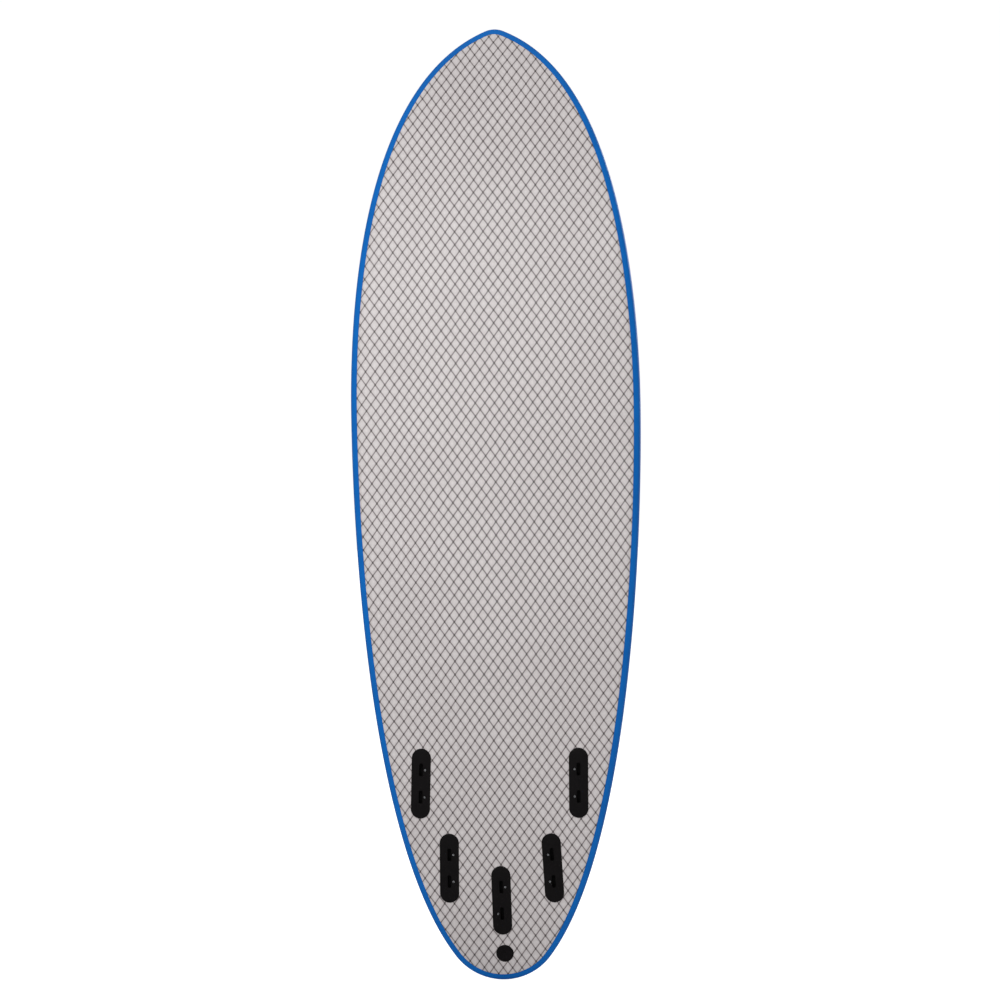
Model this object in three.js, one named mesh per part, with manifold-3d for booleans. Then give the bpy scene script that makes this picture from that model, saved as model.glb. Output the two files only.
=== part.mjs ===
// A soft-top foam surfboard, standing on its tail. Millimetres, +Z from tail to nose, +X
// across the board to the right as the bottom is faced. The bottom faces -Y and the deck +Y.
// The origin is the tip of the tail.

import * as THREE from 'three';
import { mergeVertices } from 'three/addons/utils/BufferGeometryUtils.js';
import Module from 'manifold-3d';

const wasm = await Module();
wasm.setup();

// Plan outline: an arc round each end, and one cubic curve from it to the widest point. Its
// two handles are how far the curve runs on along the arc's end and along the widest point.
const LENGTH = 1829;
const WIDTH = 550;
const WIDE_POINT = 1090;
const TAIL_RADIUS = 112;
const TAIL_ARC = THREE.MathUtils.degToRad(53);
const TAIL_HANDLES = [246, 308];
const NOSE_RADIUS = 42;
const NOSE_ARC = THREE.MathUtils.degToRad(24);
const NOSE_HANDLES = [256, 178];

// Rocker: how far each end lifts towards the deck, and how far from that end it starts
const NOSE_LIFT = 118;
const NOSE_ROCKER_LENGTH = 620;
const NOSE_ROCKER_POWER = 2.4;
const TAIL_LIFT = 50;
const TAIL_ROCKER_LENGTH = 650;
const TAIL_ROCKER_POWER = 2.2;

// Foil: thickness in the middle and at the two tips
const THICKNESS = 73;
const THICKEST_POINT = 800;
const NOSE_THICKNESS = 21;
const TAIL_THICKNESS = 26;
const NOSE_FOIL_POWER = 2.6;
const TAIL_FOIL_POWER = 2.4;
const DECK_CROWN_POWER = 2.2;

// Layers, from the outside in
const SLICK = 1.6;
const NETTING = 0.8;
const RAIL_FOAM = 6;
const DECK_FOAM = 5;
const GAP = 0.3;

// Stringers
const STRINGER_THICKNESS = 4;
const STRINGER_OFFSET = 60;

// Fin boxes: a pill-shaped flange with a narrower body below it, made for twin-tab fins
const BOX_LENGTH = 133;
const BOX_WIDTH = 36;
const BOX_PROUD = 1.2;
const FLANGE_DEPTH = 3;
const BODY_LENGTH = 118;
const BODY_WIDTH = 28;
const BODY_DEPTH = 18;
const SLOT_LENGTH = 24.5;
const SLOT_WIDTH = 6.6;
const SLOT_DEPTH = 14;
const SLOT_SPACING = 52;

// Foam blocks that hold the fin boxes
const BLOCK_LENGTH = 168;
const BLOCK_WIDTH = 64;
const BLOCK_DEPTH = 22;

// Grub screws, leaning towards the slot that they clamp a tab in
const SCREW_RADIUS = 2.25;
const SCREW_LENGTH = 8;
const SCREW_SINK = 0.8;
const SCREW_OFFSET = 7.8;
const SCREW_LEAN = THREE.MathUtils.degToRad(14);
const SOCKET_RADIUS = 1.45;
const SOCKET_DEPTH = 3;

// Leash plug: a cup in the deck, bolted through to a disc on the bottom
const LEASH_HEIGHT = 53;
const LEASH_OFFSET = 4;
const DISC_RADIUS = 16.5;
const DISC_PROUD = 1.3;
const DISC_DEPTH = 2.8;
const BOSS_RADIUS = 7;
const BOSS_DEPTH = 9;
const SHOULDER_RISE = 0.6;
const SHOULDER_RUN = 0.8;
const CUP_FLANGE_RADIUS = 17;
const CUP_RADIUS = 13;
const CUP_FLANGE_DEPTH = 1.5;
const CUP_PROUD = 1;
const CUP_DEPTH = 17.5;
const BOWL_RADIUS = 10.5;
const BOWL_DEPTH = 15;
const PIN_RADIUS = 2;
const PIN_DEPTH = 4;
const BOLT_RADIUS = 2.2;
const BOLT_HOLE_RADIUS = 3.2;
const BOLT_HEAD_RADIUS = 4.6;
const BOLT_HEAD_HEIGHT = 2.6;
const BOLT_HEAD_RISE = 0.7;
const BOLT_HEAD_RUN = 1.2;

// Fin boxes by place: across the board, up from the tail, and turned by a few degrees. They
// are let in by hand, so each is toed in a little differently. The side boxes have both screws
// inboard; the centre box has a screw on each side.
const FIN_BOXES = [
  { name: 'front_left', x: -149.4, z: 381, turn: -2.1, screwSides: [1, 1] },
  { name: 'front_right', x: 149.4, z: 381, turn: -0.4, screwSides: [-1, -1] },
  { name: 'rear_left', x: -98.2, z: 218.5, turn: -0.8, screwSides: [1, 1] },
  { name: 'rear_right', x: 98.2, z: 218.5, turn: 2.9, screwSides: [-1, -1] },
  { name: 'centre', x: 0, z: 156, turn: 0.9, screwSides: [1, -1] },
];

const material = (color, roughness, metalness = 0) =>
  new THREE.MeshStandardMaterial({ color, roughness, metalness });
const railBlue = material(0x1672c8, 0.6);
const slickGrey = material(0xd8d2d1, 0.35);
const nettingBlack = material(0x35302f, 0.8);
const coreWhite = material(0xf4f4f0, 0.9);
const blockCream = material(0xe6dcc0, 0.8);
const plywood = material(0xb98f5a, 0.7);
const boxBlack = material(0x161415, 0.45);
const steel = material(0xb8bac0, 0.3, 1);

const board = new THREE.Group();

function add(name, geometry, finish, frame = new THREE.Matrix4()) {
  const mesh = new THREE.Mesh(geometry, finish);
  mesh.name = name;
  mesh.applyMatrix4(frame);
  board.add(mesh);
}

// Solids

function toSolid(geometry, frame = new THREE.Matrix4()) {
  const bare = geometry.clone().applyMatrix4(frame);
  bare.deleteAttribute('normal');
  bare.deleteAttribute('uv');
  const merged = mergeVertices(bare, 1e-3);
  return new wasm.Manifold(new wasm.Mesh({
    numProp: 3,
    vertProperties: new Float32Array(merged.attributes.position.array),
    triVerts: new Uint32Array(merged.index.array),
  }));
}

function toGeometry(solid) {
  const { numProp, vertProperties, triVerts } = solid.getMesh();
  const positions = [];
  for (let k = 0; k < vertProperties.length; k += numProp) {
    positions.push(...vertProperties.subarray(k, k + 3));
  }
  const geometry = new THREE.BufferGeometry();
  geometry.setAttribute('position', new THREE.Float32BufferAttribute(positions, 3));
  geometry.setIndex([...triVerts]);
  return geometry;
}

// A pill-shaped plate lying across local Z, its long side along local Y
function pill(length, width, bottom, top, capSteps = 7) {
  const radius = width / 2;
  const straight = length / 2 - radius;
  const shape = new THREE.Shape();
  shape.absarc(0, straight, radius, 0, Math.PI);
  shape.absarc(0, -straight, radius, Math.PI, 2 * Math.PI);
  const plate = new THREE.ExtrudeGeometry(shape, {
    depth: top - bottom,
    bevelEnabled: false,
    curveSegments: capSteps,
  });
  return plate.translate(0, 0, bottom);
}

// A turned piece about local Z, from a list of [radius, height] that starts and ends on it
function turned(profile, sides = 24) {
  const outline = profile.map(([radius, height]) => new THREE.Vector2(radius, height));
  return new THREE.LatheGeometry(outline, sides).rotateX(Math.PI / 2);
}

function rod(radius, bottom, top, sides = 16) {
  return turned([[0, bottom], [radius, bottom], [radius, top], [0, top]], sides);
}

// Outline

function arcPoint(centreZ, radius, turn, end) {
  const nx = Math.sin(turn);
  const nz = end * Math.cos(turn);
  return { x: radius * nx, z: centreZ + radius * nz, nx, nz };
}

function sideCurve(start, [tipHandle, wideHandle], end) {
  const along = new THREE.Vector2(end * start.nz, -end * start.nx).multiplyScalar(tipHandle);
  const from = new THREE.Vector2(start.x, start.z);
  const widest = new THREE.Vector2(WIDTH / 2, WIDE_POINT);
  const last = new THREE.Vector2(WIDTH / 2, WIDE_POINT + end * wideHandle);
  return new THREE.CubicBezierCurve(from, from.clone().add(along), last, widest);
}

// The points from one tip to just short of the widest point, closest together at the tip
const POINT_CROWDING = 1.6;
function endPoints(end, tipRadius, tipArc, arcSteps, curveSteps, handles) {
  const tip = end > 0 ? LENGTH : 0;
  const points = [];
  for (let k = 0; k <= arcSteps; k++) {
    points.push(arcPoint(tip - end * tipRadius, tipRadius, tipArc * k / arcSteps, end));
  }
  const curve = sideCurve(points.at(-1), handles, end);
  for (let k = 1; k < curveSteps; k++) {
    const share = (k / curveSteps) ** POINT_CROWDING;
    const point = curve.getPoint(share);
    const tangent = curve.getTangent(share);
    points.push({ x: point.x, z: point.y, nx: Math.abs(tangent.y), nz: end * Math.abs(tangent.x) });
  }
  return points;
}

const rightSide = [
  ...endPoints(-1, TAIL_RADIUS, TAIL_ARC, 4, 10, TAIL_HANDLES),
  { x: WIDTH / 2, z: WIDE_POINT, nx: 1, nz: 0 },
  ...endPoints(1, NOSE_RADIUS, NOSE_ARC, 2, 11, NOSE_HANDLES).reverse(),
];
const leftSide = rightSide.slice(1, -1).reverse().map((p) => ({ ...p, x: -p.x, nx: -p.nx }));
const outline = [...rightSide, ...leftSide];

// Distance from the outline to the centreline, square to the outline
for (const point of outline) {
  const tipRadius = point.nz > 0 ? NOSE_RADIUS : TAIL_RADIUS;
  point.reach = Math.abs(point.nx) > 1e-6 ? point.x / point.nx : tipRadius;
}

// Rocker and foil

function liftAt(z) {
  const noseShare = Math.max(0, 1 - (LENGTH - z) / NOSE_ROCKER_LENGTH);
  const tailShare = Math.max(0, 1 - z / TAIL_ROCKER_LENGTH);
  return NOSE_LIFT * noseShare ** NOSE_ROCKER_POWER + TAIL_LIFT * tailShare ** TAIL_ROCKER_POWER;
}

function thicknessAt(z) {
  if (z > THICKEST_POINT) {
    const share = (z - THICKEST_POINT) / (LENGTH - THICKEST_POINT);
    return THICKNESS - (THICKNESS - NOSE_THICKNESS) * share ** NOSE_FOIL_POWER;
  }
  const share = (THICKEST_POINT - z) / THICKEST_POINT;
  return THICKNESS - (THICKNESS - TAIL_THICKNESS) * share ** TAIL_FOIL_POWER;
}

const bottomAt = (z) => liftAt(z) - TAIL_LIFT - TAIL_THICKNESS / 3;

// Section: rings round the board, from the bottom's centreline out round the rail to the
// deck's centreline. Each is an inset from the outline and a share of the thickness there.
// The rings draw in, the foam skins thin down and the rail fills out where the board is slim.

const SEAM = 0.4;
const SLIM_INSET = 0.2;
const SLIM_SKIN = 0.5;
const SLIM_FULLNESS = 0.2;
const SLICK_EDGE_SHARE = 0.92;
const RAIL_RINGS = [
  [12.6, 0.045], [3.5, 0.12], [0.6, 0.23], [0, 0.33], [1.5, 0.45], [7, 0.59], [17, 0.70], [30, 0.78],
];
const BOTTOM_RINGS = [[42, 0], [20, 0.008]];
const DECK_RINGS = 2;
const SLICK_EDGE = BOTTOM_RINGS.length + 1;
const RAIL_START = SLICK_EDGE + 1;
const RAIL_END = RAIL_START + RAIL_RINGS.length - 1;
const DECK_EDGE = RAIL_END + 1;
const CENTRE_BOTTOM = 0;
const CENTRE_DECK = DECK_EDGE + DECK_RINGS + 1;

const slimness = (z) => 1 - thicknessAt(z) / THICKNESS;
const insetScale = (point) => 1 - SLIM_INSET * slimness(point.z);
const skinScale = (point) => 1 - SLIM_SKIN * slimness(point.z);
const fullness = (point) => 1 + SLIM_FULLNESS * slimness(point.z);
const planZ = (point, inset) => point.z - point.nz * inset;

function deckShare(point, inset) {
  const [railInset, railShare] = RAIL_RINGS.at(-1);
  const edgeInset = railInset * insetScale(point);
  const edgeShare = railShare * fullness(point);
  const outwards = Math.max(0, (point.reach - inset) / (point.reach - edgeInset));
  return 1 - (1 - edgeShare) * outwards ** DECK_CROWN_POWER;
}

function section(point) {
  const scale = insetScale(point);
  const [edgeInset, edgeShare] = RAIL_RINGS[0];
  const deckStart = RAIL_RINGS.at(-1)[0] * scale + SEAM;
  const rings = [[point.reach, 0]];
  for (const [inset, share] of BOTTOM_RINGS) rings.push([inset * scale, share]);
  rings.push([edgeInset * scale + SEAM, edgeShare * SLICK_EDGE_SHARE]);
  for (const [inset, share] of RAIL_RINGS) rings.push([inset * scale, share * fullness(point)]);
  for (let k = 0; k <= DECK_RINGS + 1; k++) {
    const inset = deckStart + (point.reach - deckStart) * k / (DECK_RINGS + 1);
    rings.push([inset, deckShare(point, inset)]);
  }
  return rings.map(([inset, share]) => [inset, share * thicknessAt(planZ(point, inset))]);
}

// A section's ring moved into the board, square to the section. The two rings of a seam
// move the same way, so the seam keeps its gap.
function sunkRing(rings, k, depth) {
  const [inset, height] = rings[k];
  if (k === CENTRE_BOTTOM) return [inset, height + depth];
  if (k === CENTRE_DECK) return [inset, height - depth];
  const before = rings[k === RAIL_START || k === DECK_EDGE ? k - 2 : k - 1];
  const after = rings[k === SLICK_EDGE || k === RAIL_END ? k + 2 : k + 1];
  const run = after[0] - before[0];
  const rise = after[1] - before[1];
  const size = Math.hypot(run, rise);
  return [inset + depth * rise / size, height - depth * run / size];
}

function place(point, [inset, height]) {
  const z = planZ(point, inset);
  return new THREE.Vector3(point.x - point.nx * inset, bottomAt(z) + height, z);
}

// A closed skin through a chain of [ring, depth] steps, carried all the way round the outline.
// A looped chain makes a hoop; an open one starts and ends on the centreline.
// Skins that face each other split their quads along the same diagonals, so they never cross.
function swept(chain, looped = false) {
  const rows = outline.map((point) => {
    const rings = section(point);
    const scale = skinScale(point);
    return chain.map(([k, depth]) => place(point, sunkRing(rings, k, depth(scale))));
  });
  const columns = chain.length;
  const index = [];
  for (let i = 0; i < rows.length; i++) {
    const row = i * columns;
    const nextRow = ((i + 1) % rows.length) * columns;
    for (let k = 0; k < (looped ? columns : columns - 1); k++) {
      const nextK = (k + 1) % columns;
      const [a, b, c, d] = [row + k, nextRow + k, nextRow + nextK, row + nextK];
      const outwards = chain[nextK][0] > chain[k][0];
      index.push(...(outwards ? [a, c, b, a, d, c] : [a, d, b, b, d, c]));
    }
  }
  const geometry = new THREE.BufferGeometry();
  const positions = rows.flat().flatMap((corner) => corner.toArray());
  geometry.setAttribute('position', new THREE.Float32BufferAttribute(positions, 3));
  geometry.setIndex(index);
  return withoutSlivers(mergeVertices(geometry, 1e-3));
}

function withoutSlivers(geometry) {
  const index = geometry.index.array;
  const kept = [];
  for (let k = 0; k < index.length; k += 3) {
    const corners = [index[k], index[k + 1], index[k + 2]];
    if (new Set(corners).size === 3) kept.push(...corners);
  }
  geometry.setIndex(kept);
  return geometry;
}

function ringRange(from, to) {
  const step = Math.sign(to - from);
  return Array.from({ length: Math.abs(to - from) + 1 }, (_, k) => from + k * step);
}

// Out along the rings at one depth, and back along them at another
function sheet(from, to, outDepth, backDepth) {
  const out = ringRange(from, to).map((k) => [k, outDepth(k)]);
  const back = ringRange(to, from).map((k) => [k, backDepth(k)]);
  return [...out, ...back];
}

// Depths of the layers. The foam skins end at the depth of the sheets that they meet.
const atSurface = () => 0;
const underSlick = () => SLICK;
const overNetting = () => SLICK + GAP;
const underNetting = () => SLICK + GAP + NETTING;
const underRail = (scale) => RAIL_FOAM * scale;
const underDeck = (scale) => DECK_FOAM * scale;

function skinDepth(k) {
  if (k <= RAIL_START) return underNetting;
  return k < RAIL_END ? underRail : underDeck;
}

const coreDepth = (k) => (scale) => skinDepth(k)(scale) + GAP;

// Frames on the bottom and the deck: local Z points out of the board, local Y to the nose

function slopeOf(heightAt, z) {
  return (heightAt(z + 1) - heightAt(z - 1)) / 2;
}

function faceFrame(x, z, heightAt, facing, turn = 0) {
  const slope = slopeOf(heightAt, z);
  const along = new THREE.Vector3(0, slope, 1).normalize();
  const out = new THREE.Vector3(0, facing, -facing * slope).normalize();
  const across = along.clone().cross(out);
  return new THREE.Matrix4()
    .makeBasis(across, along, out)
    .setPosition(x, heightAt(z), z)
    .multiply(new THREE.Matrix4().makeRotationZ(turn));
}

const tailTip = outline[0];
const tailDeckAt = (z) => bottomAt(z) + deckShare(tailTip, z) * thicknessAt(z);
const discFrame = faceFrame(LEASH_OFFSET, LEASH_HEIGHT, bottomAt, -1);
const cupFrame = faceFrame(LEASH_OFFSET, LEASH_HEIGHT, tailDeckAt, 1);
for (const box of FIN_BOXES) {
  box.frame = faceFrame(box.x, box.z, bottomAt, -1, THREE.MathUtils.degToRad(box.turn));
}

// Leash bolt: from inside the disc's boss to just above the floor of the cup
const boltFoot = new THREE.Vector3(0, 0, 1 - BOSS_DEPTH).applyMatrix4(discFrame);
const boltSeat = new THREE.Vector3(0, 0, 0.5 - BOWL_DEPTH).applyMatrix4(cupFrame);
const boltLength = boltSeat.distanceTo(boltFoot);
const boltFrame = new THREE.Matrix4().compose(
  boltFoot,
  new THREE.Quaternion().setFromUnitVectors(
    new THREE.Vector3(0, 0, 1),
    boltSeat.clone().sub(boltFoot).normalize(),
  ),
  new THREE.Vector3(1, 1, 1),
);

// Openings through the layers
const REACH = 12;
const boxHole = (margin) => pill(BOX_LENGTH + 2 * margin, BOX_WIDTH + 2 * margin, -REACH, REACH);

function cutAll(solid, cuts) {
  return cuts.reduce((left, cut) => left.subtract(cut), solid);
}

const bottomCuts = [
  ...FIN_BOXES.map((box) => toSolid(boxHole(GAP), box.frame)),
  toSolid(rod(DISC_RADIUS + GAP, -REACH, REACH, 24), discFrame),
];
const cupRecess = toSolid(turned([
  [0, -CUP_DEPTH - GAP], [CUP_RADIUS + GAP, -CUP_DEPTH - GAP], [CUP_RADIUS + GAP, -CUP_FLANGE_DEPTH - GAP],
  [CUP_FLANGE_RADIUS + GAP, -CUP_FLANGE_DEPTH - GAP], [CUP_FLANGE_RADIUS + GAP, REACH], [0, REACH],
], 24), cupFrame);

// Skins

const slick = swept(sheet(CENTRE_BOTTOM, SLICK_EDGE, () => atSurface, () => underSlick));
add('bottom_skin', toGeometry(cutAll(toSolid(slick), bottomCuts)), slickGrey);

const net = swept(sheet(CENTRE_BOTTOM, SLICK_EDGE, () => overNetting, () => underNetting));
add('mesh_layer', toGeometry(cutAll(toSolid(net), bottomCuts)), nettingBlack);

// The rail is a strip on each side, and the two meet at the tips
const railHoop = toSolid(swept(sheet(RAIL_START, RAIL_END, () => atSurface, skinDepth), true));
for (const [side, from, to] of [['left', -WIDTH, -GAP / 2], ['right', GAP / 2, WIDTH]]) {
  add(`rail_${side}`, toGeometry(railHoop.intersect(slab(from, to))), railBlue);
}

const deck = swept(sheet(CENTRE_DECK, DECK_EDGE, skinDepth, () => atSurface));
add('deck_skin', toGeometry(toSolid(deck).subtract(cupRecess)), railBlue);

// Core, stringers and foam blocks, all cut from one blank

const blank = toSolid(swept(ringRange(CENTRE_BOTTOM, CENTRE_DECK).map((k) => [k, coreDepth(k)])));

function slab(from, to) {
  const plank = new THREE.BoxGeometry(to - from, 4 * THICKNESS, 2 * LENGTH);
  return toSolid(plank.translate((from + to) / 2, 0, LENGTH / 2));
}

const stringerReach = STRINGER_THICKNESS / 2;
const coreReach = stringerReach + GAP;
const leashCuts = [
  cupRecess,
  toSolid(rod(DISC_RADIUS + GAP, -DISC_DEPTH - GAP, REACH, 24), discFrame),
  toSolid(rod(BOSS_RADIUS + GAP, -BOSS_DEPTH - GAP, 0, 12), discFrame),
  toSolid(rod(BOLT_HOLE_RADIUS, 0, boltLength, 10), boltFrame),
];
const blockCuts = FIN_BOXES.map((box) => toSolid(
  pill(BLOCK_LENGTH + 2 * GAP, BLOCK_WIDTH + 2 * GAP, -BLOCK_DEPTH - GAP, REACH, 5),
  box.frame,
));
const routedBlank = cutAll(blank, [...leashCuts, ...blockCuts]);
const CORE_STRIPS = [
  ['core_left', -WIDTH, -STRINGER_OFFSET - coreReach],
  ['core_centre', -STRINGER_OFFSET + coreReach, STRINGER_OFFSET - coreReach],
  ['core_right', STRINGER_OFFSET + coreReach, WIDTH],
];
for (const [name, from, to] of CORE_STRIPS) {
  add(name, toGeometry(routedBlank.intersect(slab(from, to))), coreWhite);
}

for (const [side, x] of [['left', -STRINGER_OFFSET], ['right', STRINGER_OFFSET]]) {
  const strip = blank.intersect(slab(x - stringerReach, x + stringerReach));
  add(`stringer_${side}`, toGeometry(strip), plywood);
}

// Fin boxes, each with its foam block and two grub screws

function boxSolid() {
  const flange = toSolid(pill(BOX_LENGTH, BOX_WIDTH, -FLANGE_DEPTH, BOX_PROUD));
  const body = toSolid(pill(BODY_LENGTH, BODY_WIDTH, -BODY_DEPTH, -FLANGE_DEPTH));
  return flange.add(body);
}

function blockSolid(frame) {
  const block = toSolid(pill(BLOCK_LENGTH, BLOCK_WIDTH, -BLOCK_DEPTH, REACH, 5), frame);
  const bodyWell = pill(BODY_LENGTH + 2 * GAP, BODY_WIDTH + 2 * GAP, -BODY_DEPTH - GAP, 0);
  const flangeWell = pill(BOX_LENGTH + 2 * GAP, BOX_WIDTH + 2 * GAP, -FLANGE_DEPTH - GAP, REACH);
  return cutAll(block.intersect(blank), [toSolid(bodyWell, frame), toSolid(flangeWell, frame)]);
}

// The mouth of a screw hole, in its fin box's frame
function screwMouth(side, y) {
  return new THREE.Matrix4()
    .makeTranslation(side * SCREW_OFFSET, y, BOX_PROUD)
    .multiply(new THREE.Matrix4().makeRotationY(side * SCREW_LEAN));
}

function screwGeometry() {
  const shank = toSolid(rod(SCREW_RADIUS, -SCREW_SINK - SCREW_LENGTH, -SCREW_SINK, 12));
  const socket = toSolid(rod(SOCKET_RADIUS, -SCREW_SINK - SOCKET_DEPTH, 1, 6));
  return toGeometry(shank.subtract(socket));
}

const HOLE_RUN = 4;
const screwHole = rod(
  SCREW_RADIUS + GAP,
  -SCREW_SINK - SCREW_LENGTH - HOLE_RUN,
  HOLE_RUN,
  12,
);

for (const { name, frame, screwSides } of FIN_BOXES) {
  const spots = screwSides.map((side, k) => [side, (0.5 - k) * SLOT_SPACING]);
  const slots = spots.map(([, y]) =>
    toSolid(pill(SLOT_LENGTH, SLOT_WIDTH, -SLOT_DEPTH, REACH, 4).translate(0, y, 0)));
  const holes = spots.map(([side, y]) => toSolid(screwHole, screwMouth(side, y)));
  add(`fin_box_${name}`, toGeometry(cutAll(boxSolid(), [...slots, ...holes])), boxBlack, frame);
  add(`foam_block_${name}`, toGeometry(blockSolid(frame)), blockCream);
  for (const [k, [side, y]] of spots.entries()) {
    const end = k === 0 ? 'fore' : 'aft';
    const screwFrame = frame.clone().multiply(screwMouth(side, y));
    add(`grub_screw_${name}_${end}`, screwGeometry(), steel, screwFrame);
  }
}

// Leash plug

const discBody = toSolid(turned([
  [0, -DISC_DEPTH], [DISC_RADIUS, -DISC_DEPTH], [DISC_RADIUS, DISC_PROUD - SHOULDER_RISE],
  [DISC_RADIUS - SHOULDER_RUN, DISC_PROUD], [0, DISC_PROUD],
], 24));
const boss = toSolid(rod(BOSS_RADIUS, -BOSS_DEPTH, -DISC_DEPTH, 12));
const bossHole = toSolid(rod(BOLT_HOLE_RADIUS, -REACH, -DISC_DEPTH, 10));
add('leash_disc', toGeometry(discBody.add(boss).subtract(bossHole)), boxBlack, discFrame);

const cupBody = toSolid(turned([
  [0, -CUP_DEPTH], [CUP_RADIUS, -CUP_DEPTH], [CUP_RADIUS, -CUP_FLANGE_DEPTH],
  [CUP_FLANGE_RADIUS, -CUP_FLANGE_DEPTH],
  [CUP_FLANGE_RADIUS, CUP_PROUD - SHOULDER_RISE],
  [CUP_FLANGE_RADIUS - SHOULDER_RUN, CUP_PROUD],
  [BOWL_RADIUS, CUP_PROUD], [BOWL_RADIUS, -BOWL_DEPTH], [0, -BOWL_DEPTH],
], 24));
const pinFrame = new THREE.Matrix4()
  .makeTranslation(0, 0, -PIN_DEPTH)
  .multiply(new THREE.Matrix4().makeRotationY(Math.PI / 2));
const cupCuts = [
  toSolid(rod(PIN_RADIUS + GAP, -CUP_RADIUS - 1, CUP_RADIUS + 1, 12), pinFrame),
  toSolid(rod(BOLT_HOLE_RADIUS, -CUP_DEPTH - 1, 0, 10)),
];
add('leash_cup', toGeometry(cutAll(cupBody, cupCuts)), boxBlack, cupFrame);
const pin = rod(PIN_RADIUS, 0.5 - CUP_RADIUS, CUP_RADIUS - 0.5, 12);
add('leash_pin', pin, steel, cupFrame.clone().multiply(pinFrame));
add('leash_bolt', turned([
  [0, 0], [BOLT_RADIUS, 0], [BOLT_RADIUS, boltLength], [BOLT_HEAD_RADIUS, boltLength],
  [BOLT_HEAD_RADIUS, boltLength + BOLT_HEAD_HEIGHT - BOLT_HEAD_RISE],
  [BOLT_HEAD_RADIUS - BOLT_HEAD_RUN, boltLength + BOLT_HEAD_HEIGHT], [0, boltLength + BOLT_HEAD_HEIGHT],
], 16), steel, boltFrame);

export default board;
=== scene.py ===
"""A soft-top foam surfboard, standing on its tail with its bottom to the camera.

Shapes are in millimetres and are brought to metres as each piece is put in its place.
+Z runs from tail to nose, the bottom faces -Y, and the origin is the tip of the tail.
"""

import math

import bmesh
import bpy
from mathutils import Matrix, Vector


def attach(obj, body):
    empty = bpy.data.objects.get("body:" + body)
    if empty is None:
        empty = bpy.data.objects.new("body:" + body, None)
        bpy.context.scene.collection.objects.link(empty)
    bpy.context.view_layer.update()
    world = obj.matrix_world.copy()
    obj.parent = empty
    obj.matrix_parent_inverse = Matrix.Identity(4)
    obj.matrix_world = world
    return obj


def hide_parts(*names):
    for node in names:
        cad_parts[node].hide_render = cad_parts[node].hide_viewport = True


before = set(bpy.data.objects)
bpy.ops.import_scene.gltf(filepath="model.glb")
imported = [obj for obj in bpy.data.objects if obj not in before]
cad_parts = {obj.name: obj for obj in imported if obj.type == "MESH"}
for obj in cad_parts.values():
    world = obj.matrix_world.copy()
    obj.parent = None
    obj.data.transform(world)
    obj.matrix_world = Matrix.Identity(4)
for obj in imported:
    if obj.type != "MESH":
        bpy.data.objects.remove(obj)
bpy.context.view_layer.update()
bpy.ops.object.select_all(action="DESELECT")


# --- Core ---------------------------------------------------------------------------------
# Three strips of expanded polystyrene, wire-cut from a moulded block to the board's foil and
# glued to the stringers between them. The beads show as small flattened cells.

def linear(hex_colour):
    """An sRGB hex colour as the linear RGBA that shader sockets take."""
    channels = [int(hex_colour[k:k + 2], 16) / 255 for k in (1, 3, 5)]
    return [c / 12.92 if c <= 0.04045 else ((c + 0.055) / 1.055) ** 2.4 for c in channels] + [1]


def add_node(tree, kind, inputs=None, **settings):
    """Adds a node. inputs gives its sockets values, or the outputs that feed them."""
    node = tree.nodes.new("ShaderNode" + kind)
    for name, value in settings.items():
        setattr(node, name, value)
    for socket, value in (inputs or {}).items():
        if isinstance(value, bpy.types.NodeSocket):
            tree.links.new(value, node.inputs[socket])
        else:
            node.inputs[socket].default_value = value
    return node


def new_finish(name, **shader_values):
    """A material with its node tree, its shader, and the piece's own coordinates in metres."""
    finish = bpy.data.materials.new(name)
    finish.use_nodes = True
    tree = finish.node_tree
    shader = tree.nodes["Principled BSDF"]
    for socket, value in shader_values.items():
        shader.inputs[socket.replace("_", " ")].default_value = value
    place = add_node(tree, "TexCoord").outputs["Object"]
    return finish, tree, shader, place


def per_metre(millimetres):
    """The texture scale that gives a pattern this many millimetres across."""
    return 1000 / millimetres


def dress(tree, shader, shade, relief):
    """Gives a finish its mixed colour and its bumps."""
    tree.links.new(shade.outputs[2], shader.inputs["Base Color"])
    tree.links.new(relief.outputs["Normal"], shader.inputs["Normal"])


# Expanded polystyrene, hot-wire cut: matt white beads 4 mm across with grey joints between
bead_foam, tree, shader, place = new_finish("expanded_polystyrene_wire_cut", Roughness=0.85)
beads = add_node(tree, "TexVoronoi", {"Vector": place, "Scale": per_metre(4)},
                 feature="DISTANCE_TO_EDGE")
joint = add_node(tree, "MapRange", {"Value": beads.outputs["Distance"], "From Max": 0.12})
shade = add_node(tree, "Mix", {"Factor": joint.outputs["Result"], 6: linear("#D3D4D2"),
                               7: linear("#F6F6F3")}, data_type="RGBA")
relief = add_node(tree, "Bump", {"Height": joint.outputs["Result"], "Distance": 0.0003})
dress(tree, shader, shade, relief)
for strip in ("core_left", "core_centre", "core_right"):
    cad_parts[strip].material_slots[0].material = bead_foam


# --- Stringers ----------------------------------------------------------------------------
# Two battens of birch plywood, 4 mm thick, sawn to the rocker and glued on edge between the
# core strips. They keep the foam from folding.

PLY = 4 / 3

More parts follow.
